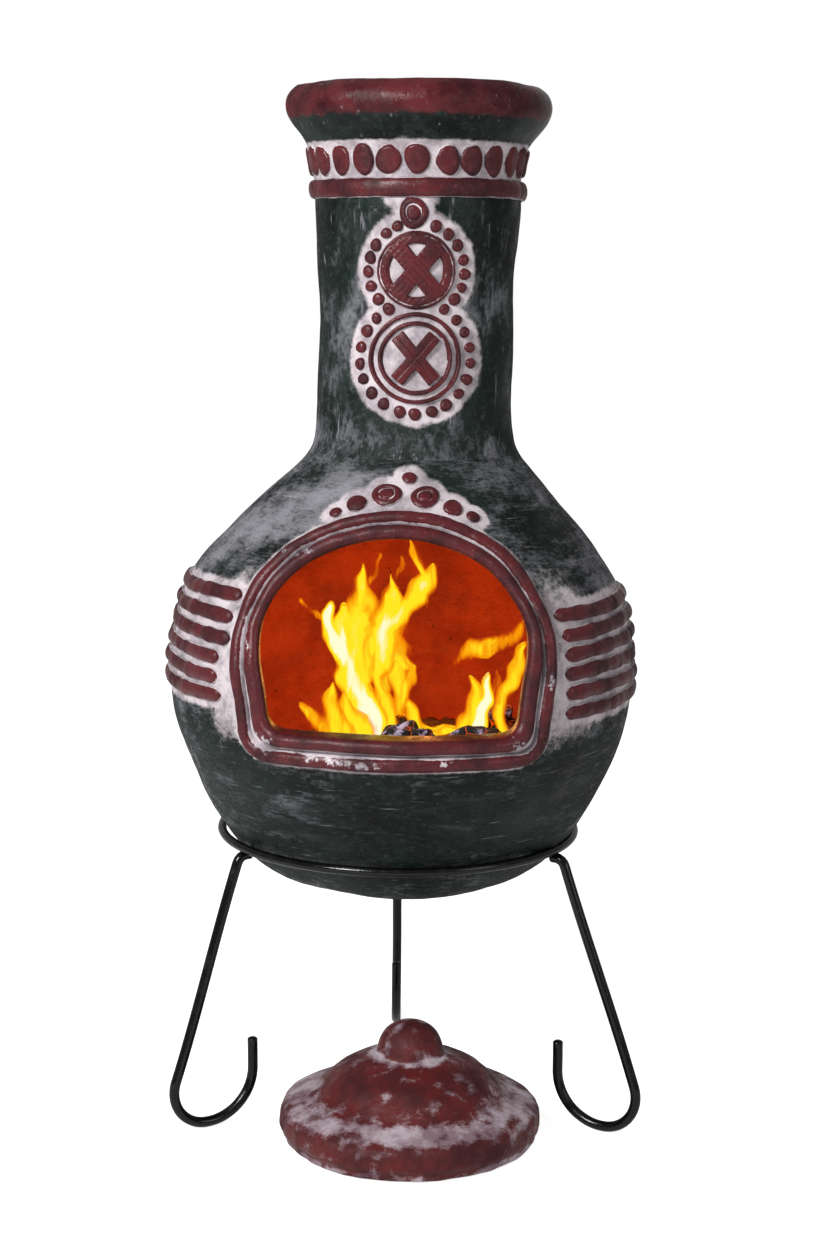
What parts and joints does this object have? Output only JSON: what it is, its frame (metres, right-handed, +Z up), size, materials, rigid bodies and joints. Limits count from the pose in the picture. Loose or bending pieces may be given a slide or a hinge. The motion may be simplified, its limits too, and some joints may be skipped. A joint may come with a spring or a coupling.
{
  "type": "chiminea",
  "caption": "Painted clay chiminea with arched mouth, long flue neck and raised trim, in a three-legged rod ring stand, with a loose domed clay lid.",
  "frame": {"origin": "on the ground, on the flue's axis, between the stand's three feet", "axes": "+Z up along the flue, -Y out of the mouth, +X to the right of the mouth seen from the front"},
  "size_m": [0.5221, 0.5725, 1.125],
  "materials": {
    "green_clay": "matte",
    "red_clay": "matte",
    "lid_clay": "matte",
    "black_rod": "satin",
    "sand": "matte",
    "charred_wood": "matte",
    "flame": "matte"
  },
  "bodies": {
    "stand": {"stand_ring": "black_rod", "leg_front_left": "black_rod", "leg_front_right": "black_rod", "leg_rear": "black_rod"},
    "pot": {"bowl": "green_clay", "neck": "green_clay", "rim": "red_clay", "neck_moulding": "red_clay", "collar_buttons": "red_clay", "top_button": "red_clay", "upper_wheel_rim": "red_clay", "upper_wheel_cross": "red_clay", "lower_wheel_rim": "red_clay", "lower_wheel_ring": "red_clay", "lower_wheel_cross": "red_clay", "upper_beads": "red_clay", "lower_beads": "red_clay", "mouth_roll_inner": "red_clay", "mouth_roll_outer": "red_clay", "crown_stud_1": "red_clay", "crown_stud_2": "red_clay", "crown_stud_3": "red_clay", "crown_stud_4": "red_clay", "crown_stud_5": "red_clay", "crown_stud_6": "red_clay", "crown_stud_7": "red_clay", "rib_left_1": "red_clay", "rib_left_2": "red_clay", "rib_left_3": "red_clay", "rib_left_4": "red_clay", "rib_left_5": "red_clay", "rib_left_6": "red_clay", "rib_right_1": "red_clay", "rib_right_2": "red_clay", "rib_right_3": "red_clay", "rib_right_4": "red_clay", "rib_right_5": "red_clay", "rib_right_6": "red_clay", "sand_bed": "sand", "log_left": "charred_wood", "log_right": "charred_wood"},
    "lid": {"lid": "lid_clay", "lid_knob": "lid_clay"}
  },
  "joints": [
    {"name": "pot_lift", "type": "slide", "parent": "stand", "child": "pot", "axis": [0, 0, 1], "range_m": [0, 0.32]},
    {"name": "lid_slide", "type": "slide", "parent": "stand", "child": "lid", "axis": [0, -1, 0], "range_m": [0, 0.4]}
  ]
}
